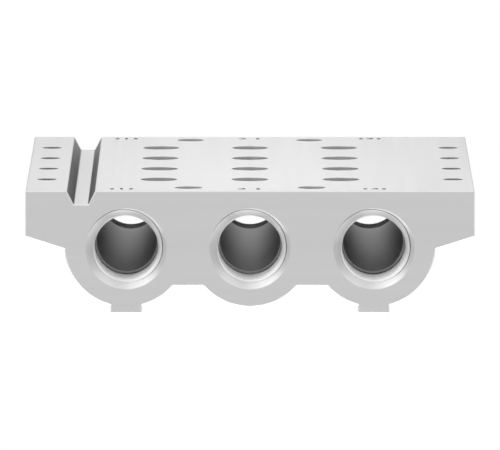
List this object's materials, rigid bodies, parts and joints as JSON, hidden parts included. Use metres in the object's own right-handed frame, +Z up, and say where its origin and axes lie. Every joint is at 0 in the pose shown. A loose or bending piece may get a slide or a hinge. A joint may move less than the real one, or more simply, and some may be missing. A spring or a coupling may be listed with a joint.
{
  "type": "pneumatic manifold rail",
  "caption": "Flat aluminium rail with three long air galleries under it and rows of valve ports, screw holes and a guide groove on top.",
  "frame": {"origin": "under the middle of the rail, at the level of its feet", "axes": "+Y along the rail from its front end to its back end, +Z up, +X to the right, so the guide groove is at -X"},
  "size_m": [0.1306, 0.17, 0.0357],
  "materials": {
    "aluminium": "satin"
  },
  "bodies": {
    "root": {"manifold_rail": "aluminium"}
  },
  "joints": []
}
